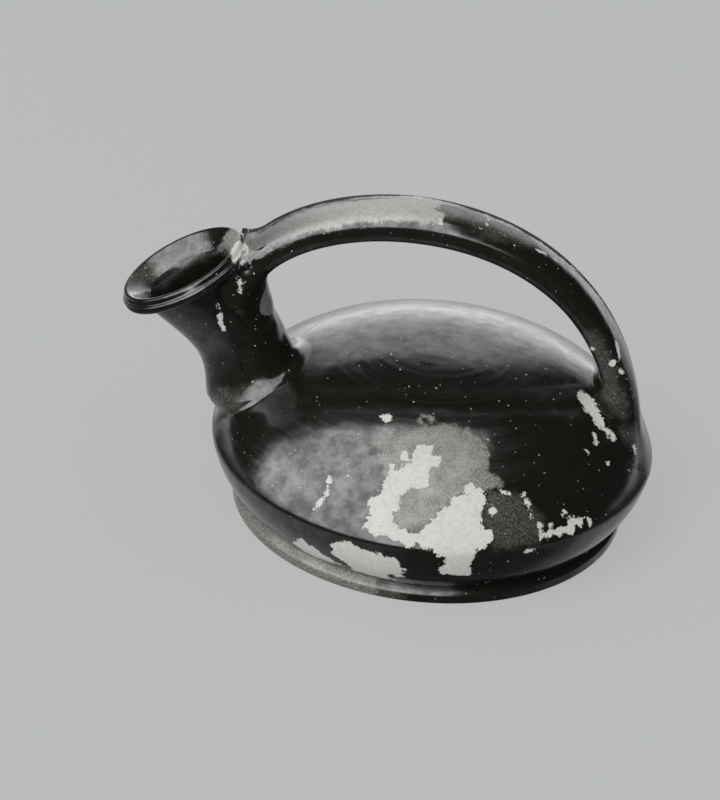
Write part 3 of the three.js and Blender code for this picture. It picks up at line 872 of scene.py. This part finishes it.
STROKES = {
    "flake": (
        # Dots and drops on the dome
        (0.9, [(-6.5, -35.9, 31.3)]),
        (0.9, [(-10.9, -26.5, 34.8)]),
        (0.4, [(-18.3, -38.6, 26.8)]),
        (0.4, [(19.0, -39.0, 26.2)]),
        (0.6, [(14.4, -40.0, 26.9), (15.8, -39.6, 26.6)]),
        (0.5, [(12.6, -43.7, 24.0)]),
        (0.4, [(27.9, -37.1, 22.9)]),
        (0.5, [(28.1, -38.1, 21.5)]),
        (0.5, [(25.6, -40.8, 20.2)]),
        (0.6, [(20.6, -45.4, 15.9), (21.7, -44.9, 15.8)]),
        (0.3, [(38.0, -22.5, 25.5)]),
        (0.35, [(33.2, -23.6, 28.5)]),
        # The broken line and the cluster on the right
        (0.2, [(19.8, -39.8, 25.1), (21.0, -41.8, 22.3), (22.9, -41.9, 20.9)]),
        (0.35, [(22.9, -41.9, 20.9), (23.9, -42.5, 19.2), (23.7, -43.4, 17.7)]),
        (0.6, [(24.9, -42.3, 18.4), (27.8, -40.4, 18.7)]),
        (0.9, [(27.8, -40.4, 18.7), (30.4, -38.8, 17.9), (29.9, -38.2, 19.6), (32.0, -37.0, 19.0)]),
        (0.5, [(34.2, -35.2, 18.5), (34.5, -35.5, 17.5)]),
        # Scratches on dome and neck
        (0.25, [(-22.0, -37.8, 26.0), (-22.5, -40.5, 23.0), (-24.8, -41.7, 19.6)]),
        (0.28, [(-49.1, -9.8, 49.9), (-48.7, -10.1, 46.9), (-48.0, -10.0, 44.0)]),
        # Slip broken off where the handle meets the mouth and the shoulder; at the mouth partly a painted
        # highlight along the fillet
        (2.0, [(-46.1, -2.4, 60.8), (-44.9, -5.4, 59.5), (-45.0, -5.4, 56.3)]),
        (1.8, [(-45.0, -5.4, 56.3), (-45.8, -7.2, 53.0)]),
        (1.7, [(32.4, -7.4, 33.4), (33.4, -10.2, 32.3)]),
        (1.4, [(33.4, -10.2, 32.3), (36.0, -14.0, 30.0)]),
        (0.9, [(36.0, -14.0, 30.0), (38.9, -16.0, 27.4)]),
        (0.8, [(37.1, -10.1, 30.1), (37.7, -12.1, 29.3)]),
        (0.4, [(34.6, -17.7, 29.8), (35.1, -20.2, 28.7)]),
        (0.5, [(41.9, -9.8, 26.5), (43.4, -11.3, 24.7), (44.6, -13.7, 23.4)]),
        # Chips and worn lines along the handle
        (0.22, [(18.5, -2.9, 65.7), (24.1, -0.4, 62.2), (29.1, 3.9, 57.8)]),
        (0.2, [(34.0, 2.6, 52.9), (37.0, -1.6, 49.2)]),
        (0.5, [(33.3, -6.6, 44.5)]),
        (0.4, [(38.1, -5.6, 46.0), (39.0, -6.3, 43.4)]),
        (0.5, [(37.8, -7.2, 42.2)]),
        (0.3, [(39.6, -7.0, 39.8)]),
        (0.35, [(40.8, -5.0, 41.3)]),
        (0.3, [(41.2, -6.6, 37.9)]),
        (0.4, [(6.1, -4.5, 70.4)]),
        (0.2, [(-3.5, 3.8, 72.5), (-3.2, -2.1, 72.7), (-2.6, -5.8, 71.7)]),
        (0.2, [(7.2, 2.4, 70.5), (7.2, -2.5, 70.5)]),
    ),
    "haze": (
        # Back wall of the mouth
        (2.6, [(-67.7, 3.4, 47.6), (-63.9, 8.6, 49.2), (-59.6, 10.0, 50.9), (-55.2, 10.1, 53.3)]),
        # Around the spout's root
        (2.2, [(-49.3, -6.9, 22.3), (-47.5, -9.1, 26.8), (-44.3, -10.8, 27.1)]),
        (1.3, [(-44.3, -10.8, 27.1), (-41.3, -11.0, 29.5), (-38.1, -10.2, 30.9)]),
        (1.6, [(-48.5, -9.1, 18.0), (-46.4, -10.0, 22.5)]),
        # Handle, past its crest and down its leg, and the shoulder beside it
        (3.2, [(-3.0, -2.0, 72.3), (2.7, -1.0, 71.7), (8.5, -2.5, 70.1), (14.8, -1.3, 67.7)]),
        (2.0, [(32.6, -7.1, 47.2), (35.5, -7.1, 42.5), (37.8, -7.0, 36.3), (40.2, -7.8, 30.6)]),
        (2.4, [(41.9, -11.5, 26.2), (45.7, -10.4, 24.9), (47.4, -10.8, 21.4)]),
    ),
    "crust": (
        # The joint behind the mouth: crust, partly a painted highlight along the fillet
        (2.4, [(-48.0, 5.8, 59.0), (-46.1, -2.4, 60.8), (-44.9, -5.4, 59.5)]),
    ),
    "dull": (
        # Hollows under the lip on both sides of the handle's root, and at its foot
        (3.6, [(-47.8, -8.2, 52.4), (-45.0, -6.6, 54.0)]),
        (5.2, [(-40.1, -7.3, 53.1), (-38.8, -6.5, 47.9)]),
        (3.2, [(37.0, -8.0, 35.0), (39.0, -8.5, 31.5)]),
    ),
}
# Rings that drops have left on the dome, each round a point
RING_RADIUS = 1.3 * MM
RING_WIDTH = 0.3 * MM
RINGS = (
    (-11.7, -30.5, 33.2), (-8.2, -31.9, 33.1), (-3.8, -31.5, 33.6), (-10.7, -35.2, 31.1),
    (-2.5, -27.1, 35.3),
)


def outline_distance(x, y):
    """Distance to outlines from points at the origin, less than zero inside. Each row holds one
    point's corners."""
    ahead_x, ahead_y = np.roll(x, -1, 1) - x, np.roll(y, -1, 1) - y
    size = np.maximum(ahead_x**2 + ahead_y**2, 1e-18)
    t = np.clip(-(x * ahead_x + y * ahead_y) / size, 0, 1)
    nearest = np.hypot(x + t * ahead_x, y + t * ahead_y).min(1)
    crosses = (y > 0) != (y + ahead_y > 0)
    level = np.where(ahead_y == 0, 1, ahead_y)
    right = x - y * ahead_x / level > 0
    inside = (crosses & right).sum(1) % 2 == 1
    return np.where(inside, -nearest, nearest)


def chart_distance(points, body, outline):
    """Distance along the body's surface to an outline on its chart."""
    angle, along = body_chart(points, body)
    corners = np.radians([a for a, _ in outline])
    middle = corners.mean()
    turn = (middle - angle[:, None] + math.pi) % (2 * math.pi) - math.pi + corners - middle
    radius = np.maximum(np.linalg.norm(points[:, :2], axis=1), MM)
    heights = np.array([v for _, v in outline]) * MM
    return outline_distance(turn * radius[:, None], heights[None, :] - along[:, None])


def stroke_distance(points, width, stroke):
    line = np.array(stroke) * MM
    nearest = np.linalg.norm(points - line[0], axis=1)
    for a, b in zip(line, line[1:]):
        t = np.clip((points - a) @ (b - a) / ((b - a) @ (b - a)), 0, 1)
        away = np.linalg.norm(points - a - t[:, None] * (b - a), axis=1)
        nearest = np.minimum(nearest, away)
    return nearest - width * MM


def handle_distance(piece, points, outline):
    """Distance in plan to an outline on the handle, which lies on its upper side."""
    corners = np.array(outline) * MM
    away = corners[None] - points[:, None, :2]
    near = outline_distance(away[..., 0], away[..., 1])
    normals = np.empty(len(points) * 3)
    piece.data.vertices.foreach_get("normal", normals)
    return np.where(normals.reshape(-1, 3)[:, 2] > 0.1, near, FAR)


def add_wear(piece, context, on_body=False, on_handle=False):
    """Writes how far each point lies from each kind of worn place, in millimetres."""
    points = points_of(piece)
    places = {name: np.full(len(points), FAR) for name in WORN_EDGES}

    def wear(name, distance):
        places[name] = np.minimum(places[name], distance)

    if on_body:
        body = context.scene.jug_body
        for name, outlines in (("flake", FLAKES), ("crust", CRUSTS), ("haze", HAZES)):
            for outline in outlines:
                wear(name, chart_distance(points, body, outline))
    if on_handle:
        wear("bloom_and_highlight", handle_distance(piece, points, BLOOM_AND_HIGHLIGHT_ON_HANDLE))
        wear("dull", handle_distance(piece, points, DULL_ON_HANDLE))
    for name, strokes in STROKES.items():
        for width, stroke in strokes:
            wear(name, stroke_distance(points, width, stroke))
    for centre in RINGS:
        away = stroke_distance(points, 0, [centre])
        wear("crust", np.abs(away - RING_RADIUS) - RING_WIDTH)
    for name, values in places.items():
        attribute = piece.data.attributes.new(name, "FLOAT", "POINT")
        attribute.data.foreach_set("value", (values / MM).astype(np.float32))


# Operators


class JUG_OT_base(bpy.types.Operator):
    """Base disc: a thrown slab with a worn lower edge and a scraped groove above its side"""

    bl_idname = "jug.base"
    bl_label = "Base disc"

    def execute(self, context):
        body = context.scene.jug_body
        foot = body.edge_radius - body.bowl_inset
        side = foot + body.groove
        middle, worn = 0.3 * MM, 0.5 * MM
        profile = rounded(
            [(middle, 0), (side, 0), (side, body.base_side), (foot, body.floor), (middle, body.floor)],
            [worn, worn, 0.05 * MM],
        )
        piece = skin("gloss_base_disc", turned(evenly(profile, 0.8 * MM), SIDES["base"]))
        glaze(piece, context, "base_disc", "black_slip_on_body", on_body=True)
        return {"FINISHED"}


class JUG_OT_bowl(bpy.types.Operator):
    """Lower wall: the thrown wall from the groove up to the sharp edge"""

    bl_idname = "jug.bowl"
    bl_label = "Lower wall"

    def execute(self, context):
        body = context.scene.jug_body
        outside = body_outline(body)[0]
        inside = wall_line(body, -body.wall, ROWS["wall_inside"])[::-1]
        rings = turned(np.vstack([outside, inside]), SIDES["bowl"])
        piece = skin("gloss_lower_wall", rings, looped=True)
        glaze(piece, context, "lower_bowl", "black_slip_on_body", on_body=True)
        return {"FINISHED"}


class JUG_OT_dome(bpy.types.Operator):
    """Dome: the closed upper half of the body, pierced under the spout"""

    bl_idname = "jug.dome"
    bl_label = "Dome"

    def execute(self, context):
        body = context.scene.jug_body
        spout = context.scene.jug_spout
        outside = body_outline(body)[1][::-1]
        inside = dome_line(body, -body.wall, ROWS["dome_inside"])
        piece = skin("gloss_dome", turned(np.vstack([outside, inside]), SIDES["dome"]))
        line = bore_line(body, spout)
        depths = np.linspace(spout.waist_depth, line[-1, 2], 12)
        cutter = skin("bore_cutter", circles(spout, line, depths, SIDES["bore"]))
        modifier = piece.modifiers.new("Bore", "BOOLEAN")
        modifier.object = cutter
        modifier.operation = "DIFFERENCE"
        modifier.solver = "EXACT"
        context.view_layer.update()
        evaluated = piece.evaluated_get(context.evaluated_depsgraph_get())
        mesh = bpy.data.meshes.new_from_object(evaluated)
        piece.modifiers.clear()
        piece.data = mesh
        bpy.data.objects.remove(cutter)
        finish_mesh(mesh)
        glaze(piece, context, "upper_dome", "black_slip_on_body", on_body=True)
        return {"FINISHED"}


class JUG_OT_seam(bpy.types.Operator):
    """Seam coil: the frame's own coil of bare clay inside the edge"""

    bl_idname = "jug.seam"
    bl_label = "Seam coil"

    def execute(self, context):
        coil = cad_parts["seam_coil"]
        coil.data.materials.clear()
        coil.data.materials.append(bare_clay(context.scene.jug_finish))
        return {"FINISHED"}


class JUG_OT_rim(bpy.types.Operator):
    """Mouth rim: a turned lip with a line around it"""

    bl_idname = "jug.rim"
    bl_label = "Mouth rim"

    def execute(self, context):
        spout = context.scene.jug_spout
        inner = spout.throat_radius - spout.neck_wall
        outer, mouth, tall = spout.rim_radius, spout.mouth_radius, spout.rim_height
        profile = rounded(
            [
                (inner, -tall),
                (outer - 0.1 * MM, -tall),
                (outer, -1.45 * MM),
                (outer - 0.75 * MM, -1.3 * MM),
                (outer - 1.0 * MM, -0.05 * MM),
                (mouth, 0),
                (inner + 1.3 * MM, -1.9 * MM),
                (inner, -tall),
            ],
            [0.6 * MM, 0.5 * MM, 0.25 * MM, 0.4 * MM, 0.35 * MM, 0.9 * MM],
        )
        rings = turned(evenly(profile[:-1], 0.3 * MM), SIDES["rim"])
        piece = skin("gloss_mouth_rim", into_jug(spout, rings), looped=True)
        glaze(piece, context, "mouth_rim", "black_slip_on_spout")
        return {"FINISHED"}


class JUG_OT_neck(bpy.types.Operator):
    """Spout neck: a thrown trumpet, narrowest a third of the way up from its root"""

    bl_idname = "jug.neck"
    bl_label = "Spout neck"

    def execute(self, context):
        body = context.scene.jug_body
        spout = context.scene.jug_spout
        bottom = collar_start(body, spout)
        top = spout.rim_height - 0.2 * MM
        down = np.linspace(top, bottom, ROWS["neck"])
        up = np.linspace(bottom, top, ROWS["bore"])
        outside = circles(spout, neck_line(body, spout), down, SIDES["neck"])
        inside = circles(spout, bore_line(body, spout), up, SIDES["neck"])
        piece = skin("gloss_spout_neck", np.concatenate([outside, inside]), looped=True)
        glaze(piece, context, "spout_neck", "black_slip_on_spout")
        return {"FINISHED"}


class JUG_OT_collar(bpy.types.Operator):
    """Spout root: slip smeared from the neck out over the dome"""

    bl_idname = "jug.collar"
    bl_label = "Spout root"

    def execute(self, context):
        body = context.scene.jug_body
        spout = context.scene.jug_spout
        outer, bore = neck_line(body, spout), bore_line(body, spout)
        start = collar_start(body, spout)
        above, ring = circles(spout, outer, [start - 0.2 * MM, start], SIDES["neck"])
        centre = np.array([-spout.root_reach - 0.8 * MM, 0])
        plan = unit(ring[:, :2] - ring[:, :2].mean(0))
        foot = on_body(body, centre + plan * spout.root_spread)
        landing = landing_on_dome(body, foot, centre)
        columns = smeared(ring, unit(ring - above), foot, landing, steps=48, pull=0.45)
        neck, shell = neck_distance(body, spout), body_distance(body)
        columns[1:] = settled(columns[1:], lambda p: blend(neck(p), shell(p), spout.root_fillet))
        sunk = columns[-1] * [0.99, 0.99, 1] - [0, 0, 0.5 * MM]
        inside = circles(spout, bore, np.linspace(start + 9 * MM, start, 10), SIDES["neck"])
        rings = np.concatenate([columns, sunk[None], inside])
        piece = skin("gloss_spout_root", rings, looped=True)
        glaze(piece, context, "spout_collar", "black_slip_on_spout", on_body=True)
        return {"FINISHED"}


class JUG_OT_handle(bpy.types.Operator):
    """Handle strap: a pulled strap from the mouth over the body"""

    bl_idname = "jug.handle"
    bl_label = "Handle strap"

    def execute(self, context):
        scene = context.scene
        handle = scene.jug_handle
        curve = handle_curve(scene.jug_body, scene.jug_spout, handle)
        places = np.linspace(*strap_ends(handle, curve[2]), ROWS["strap"]).astype(int)
        piece = skin("gloss_handle_strap", strap_rings(handle, curve, places, SIDES["strap"]))
        glaze(piece, context, "handle_strap", "black_slip_on_handle", on_handle=True)
        return {"FINISHED"}


class JUG_OT_mouth_root(bpy.types.Operator):
    """Handle root at the mouth: the strap's end pressed on the neck and the rim"""

    bl_idname = "jug.mouth_root"
    bl_label = "Handle root at the mouth"

    def execute(self, context):
        scene = context.scene
        spout, handle = scene.jug_spout, scene.jug_handle
        curve = handle_curve(scene.jug_body, spout, handle)
        _, headings, at = curve
        first = strap_ends(handle, at)[0]
        ring = strap_rings(handle, curve, [first], SIDES["strap"])[0]
        outer = neck_line(scene.jug_body, spout)
        foot = self.foot_at(spout, handle, outer, 1.0, 0)
        wider = self.foot_at(spout, handle, outer, 1.1, 0)
        landing = unit(wider - foot)
        columns = smeared(ring, -headings[first], foot, landing, steps=40, pull=0.35)
        neck = neck_distance(scene.jug_body, spout, pad_swell(handle))
        strap = strap_distance(handle, curve, np.full(len(at), handle.width / 2))
        columns[1:] = settled(
            columns[1:], lambda p: blend(strap(p), neck(p), handle.mouth_fillet)
        )
        buried = self.foot_at(spout, handle, outer, 0.9, 1.2 * MM)
        piece = skin("gloss_handle_root_mouth", np.concatenate([columns, buried[None]]))
        glaze(piece, context, "handle_pad_mouth", "black_slip_on_spout", on_handle=True)
        return {"FINISHED"}

    def foot_at(self, spout, handle, outer, scale, sink):
        """The root's outline on neck and rim, pressed in by a depth."""
        angles = full_turn(SIDES["strap"])
        depth = handle.pad_depth + handle.pad_reach * scale * np.sin(angles)
        lean, radius = at_depth(outer, depth)
        on_rim = depth < spout.rim_height
        radius = np.where(on_rim, spout.rim_radius, radius) - sink
        lean = np.where(on_rim, 0, lean)
        turn = handle.pad_turn * scale * np.cos(angles)
        flat = np.stack([lean + radius * np.cos(turn), radius * np.sin(turn), -depth], -1)
        return into_jug(spout, flat)


class JUG_OT_shoulder_root(bpy.types.Operator):
    """Handle root on the shoulder: the strap's end spread out over the dome down to the edge"""

    bl_idname = "jug.shoulder_root"
    bl_label = "Handle root on the shoulder"

    def execute(self, context):
        scene = context.scene
        body, handle = scene.jug_body, scene.jug_handle
        curve = handle_curve(body, scene.jug_spout, handle)
        _, headings, at = curve
        last = strap_ends(handle, at)[1]
        ring = strap_rings(handle, curve, [last], SIDES["shoulder"])[0]
        angles = full_turn(SIDES["shoulder"])
        centre = np.array([handle.foot_reach - handle.splay_shift, 0])
        reach = np.where(np.sin(angles) > 0, handle.splay_in, handle.splay_out)
        across = (handle.spread + handle.splay_side) * np.cos(angles)
        foot = on_body(body, np.column_stack([centre[0] - reach * np.sin(angles), across]))
        landing = landing_on_dome(body, foot, centre)
        columns = smeared(ring, headings[last], foot, landing, steps=60, pull=0.42)
        columns[1:] = settled(columns[1:], self.distance(body, handle, curve))
        sunk = columns[-1] * [0.995, 0.995, 1] - [0, 0, 0.6 * MM]
        middle = sunk * [0.3, 0.3, 1] + [centre[0] * 0.7, 0, 0]
        middle[:, 2] = dome_height(body, np.linalg.norm(middle[:, :2], axis=1)) - 1.5 * MM
        rings = np.concatenate([columns, sunk[None], middle[None]])
        piece = skin("gloss_handle_root_shoulder", rings)
        glaze(piece, context, "handle_pad_shoulder", "black_slip_on_handle", on_body=True)
        return {"FINISHED"}

    def distance(self, body, handle, curve):
        """Distance outside the flared strap and the body, joined by a fillet that grows shallower
        towards the edge."""
        at = curve[2]
        left = np.clip((at[-1] - at) / handle.foot_start, 0, 1)
        flare = (1 - left) ** 2 * (1 + 0.5 * left)
        widths = handle.width / 2 + flare * (handle.spread - handle.width / 2)
        strap, shell = strap_distance(handle, curve, widths), body_distance(body)
        fading = (39 * MM, 46 * MM)
        depths = (handle.foot_fillet, 0.35 * handle.foot_fillet)
        return lambda p: blend(strap(p), shell(p), np.interp(p[..., 0], fading, depths))


class JUG_OT_stage(bpy.types.Operator):
    """Stage: pale paper, soft light and the camera"""

    bl_idname = "jug.stage"
    bl_label = "Stage"

    def execute(self, context):
        scene = context.scene
        scene.view_settings.view_transform = "Standard"
        self.add_floor(scene)
        self.add_world(scene)
        self.add_lamps(scene)
        self.add_camera(scene)
        return {"FINISHED"}

    def add_floor(self, scene):
        radius, top, bottom = scene.jug_stage.paper_radius, -0.02 * MM, -5 * MM
        profile = [(radius / 8, top), (radius, top), (radius, bottom), (radius / 8, bottom)]
        floor = skin("paper_floor", turned(profile, SIDES["paper"]))
        floor.data.materials.append(self.matt_paper(scene))

    def matt_paper(self, scene):
        """Matt paper. Most of its tone is its own glow, so that it stays even. In the gloss the paper
        glows brighter behind the jug, like a wall swept up behind it, and is painted black past its near
        and side edges, like a dark room, and in a painted shadow of the jug in front of it."""
        own_tone, darkness = 0.8, 0.88
        material, node = new_material("matt_paper")
        colour = linear(scene.jug_finish.backdrop)
        flat = {"Base Color": colour, "Roughness": 0.9, "Specular IOR Level": 0.0}
        paper = node("BsdfPrincipled", flat)
        x, y, _ = node("SeparateXYZ", (node("NewGeometry").outputs["Position"],)).outputs
        rays = node("LightPath").outputs
        mirrored = rays["Is Glossy Ray"]

        behind = node("MapRange", (y, 90 * MM, 450 * MM, 1.0, scene.jug_stage.sweep))
        strength = node("Mix", {SHARE: mirrored, VALUE_A: 1.0, VALUE_B: behind})
        even = node("Emission", {"Color": colour, "Strength": strength})
        share = node("Math", (rays["Is Camera Ray"], mirrored), operation="MAXIMUM")
        share = node("Math", (share, own_tone), operation="MULTIPLY")
        seen = node("MixShader", (share, paper, even))

        # Painted black past the edges, and a painted shadow of the jug in front of it, for glossy rays
        # alone
        ahead = node("Math", (y, 0.0), operation="MINIMUM")
        away = node("CombineXYZ", {0: x, 1: ahead})
        away = node("VectorMath", (away,), operation="LENGTH").outputs["Value"]
        dark = node("MapRange", (away, 72 * MM, 100 * MM))
        in_front = node("MapRange", (y, 110 * MM, 40 * MM))
        dark = node("Math", (dark, in_front), operation="MULTIPLY")
        painted_shade = node("MapRange", (y, -24 * MM, -42 * MM))
        for edge in ((x, -36 * MM, -4 * MM), (x, 72 * MM, 36 * MM)):
            painted_shade = node("Math", (painted_shade, node("MapRange", edge)), operation="MULTIPLY")
        dark = node("Math", (dark, painted_shade), operation="MAXIMUM")
        for share in (mirrored, darkness):
            dark = node("Math", (dark, share), operation="MULTIPLY")
        seen = node("MixShader", (dark, seen, node("Emission", {"Strength": 0.0})))
        node("OutputMaterial", {"Surface": seen})
        return material

    def add_world(self, scene):
        """The studio as the gloss sees it: a softbox over the left and front, a pale panel behind
        up to 35 degrees, and a dark room elsewhere. Matt surfaces get even light."""
        stage = scene.jug_stage
        world = bpy.data.worlds.new("studio")
        world.use_nodes = True
        scene.world = world
        world.node_tree.nodes.clear()
        node = partial(add, world.node_tree)
        towards = node("TexCoord").outputs["Generated"]
        x, y, z = node("SeparateXYZ", (towards,)).outputs

        # Each edge is a part of the direction, where the light begins and where it is full
        lean = node("Math", (z, -0.3, y), operation="MULTIPLY_ADD")
        box = 1.0
        for edge in ((x, 0.3, 0.2), (lean, 0.07, 0.0), (z, 0.02, 0.16)):
            soft = node("MapRange", edge, interpolation_type="SMOOTHSTEP")
            box = node("Math", (box, soft), operation="MULTIPLY")
        # The panel is brightest low down, where the dome fades into the paper
        panel = node("MapRange", (z, 0.45, 0.0, 1.0, 1.9), interpolation_type="SMOOTHSTEP")
        right = node("Math", (z, 0.6, x), operation="MULTIPLY_ADD")
        for edge in ((z, 0.585, 0.54), (y, 0.45, 0.75), (right, 0.62, 0.38), (x, -0.46, -0.2)):
            soft = node("MapRange", edge, interpolation_type="SMOOTHSTEP")
            panel = node("Math", (panel, soft), operation="MULTIPLY")
        bright = node("Math", (box, stage.softbox, 0.02), operation="MULTIPLY_ADD")
        bright = node("Math", (panel, stage.panel, bright), operation="MULTIPLY_ADD")
        rays = node("LightPath").outputs
        even = node("Background", {"Strength": stage.ambient})
        mirrored = node("Background", {"Strength": bright})
        paper = node("Background", {"Color": linear(scene.jug_finish.backdrop)})
        seen = node("MixShader", (rays["Is Glossy Ray"], even, mirrored))
        seen = node("MixShader", (rays["Is Camera Ray"], seen, paper))
        node("OutputWorld", {"Surface": seen})

    def add_lamps(self, scene):
        """A wide soft lamp from the upper left and a low one in front, for matt surfaces alone."""
        for name, place_at, power in (
            ("soft_key", (-1.0, -1.1, 1.6), 24),
            ("low_fill", (-0.3, -1.3, 0.25), 7),
        ):
            lamp = bpy.data.lights.new(name, "AREA")
            lamp.shape = "SQUARE"
            lamp.size = 1.2
            lamp.energy = power
            holder = bpy.data.objects.new(name, lamp)
            holder.location = place_at
            holder.rotation_euler = (-Vector(place_at)).to_track_quat("-Z", "Y").to_euler()
            holder.visible_glossy = False
            holder.visible_camera = False
            scene.collection.objects.link(holder)

    def add_camera(self, scene):
        stage = scene.jug_stage
        lens = bpy.data.cameras.new("camera")
        lens.lens = stage.lens
        lens.sensor_width = 36
        lens.clip_start = 0.01
        back = Vector((0, -math.cos(stage.elevation), math.sin(stage.elevation)))
        right = Matrix.Rotation(stage.roll, 3, back) @ Vector((1, 0, 0))
        matrix = Matrix((right, back.cross(right), back)).transposed().to_4x4()
        matrix.translation = Vector(stage.aim) + back * stage.distance
        camera = bpy.data.objects.new("camera", lens)
        camera.matrix_world = matrix
        scene.collection.objects.link(camera)
        scene.camera = camera


class JUG_PT_panel(bpy.types.Panel):
    """Sizes, finish and pieces of the jug"""

    bl_idname = "JUG_PT_panel"
    bl_label = "Spouted jug"
    bl_space_type = "VIEW_3D"
    bl_region_type = "UI"
    bl_category = "Jug"

    def draw(self, context):
        layout = self.layout
        for name in PROPERTY_GROUPS:
            box = layout.box()
            group = getattr(context.scene, name)
            for key in group.__annotations__:
                box.prop(group, key)
        for operator in OPERATORS:
            layout.operator(operator.bl_idname)


PROPERTY_GROUPS = {
    "jug_body": JugBodySizes,
    "jug_spout": JugSpoutSizes,
    "jug_handle": JugHandleSizes,
    "jug_finish": JugFinish,
    "jug_stage": JugStage,
}
OPERATORS = (
    JUG_OT_base,
    JUG_OT_bowl,
    JUG_OT_dome,
    JUG_OT_seam,
    JUG_OT_rim,
    JUG_OT_neck,
    JUG_OT_collar,
    JUG_OT_handle,
    JUG_OT_mouth_root,
    JUG_OT_shoulder_root,
    JUG_OT_stage,
)


def register():
    for name, group in PROPERTY_GROUPS.items():
        bpy.utils.register_class(group)
        setattr(bpy.types.Scene, name, PointerProperty(type=group))
    for operator in OPERATORS:
        bpy.utils.register_class(operator)
    bpy.utils.register_class(JUG_PT_panel)


def unregister():
    bpy.utils.unregister_class(JUG_PT_panel)
    for operator in reversed(OPERATORS):
        bpy.utils.unregister_class(operator)
    for name, group in reversed(PROPERTY_GROUPS.items()):
        delattr(bpy.types.Scene, name)
        bpy.utils.unregister_class(group)


def main():
    register()
    bpy.ops.jug.base()
    bpy.ops.jug.bowl()
    bpy.ops.jug.dome()
    bpy.ops.jug.seam()
    bpy.ops.jug.rim()
    bpy.ops.jug.neck()
    bpy.ops.jug.collar()
    bpy.ops.jug.handle()
    bpy.ops.jug.mouth_root()
    bpy.ops.jug.shoulder_root()
    bpy.ops.jug.stage()


if __name__ == "__main__":
    main()
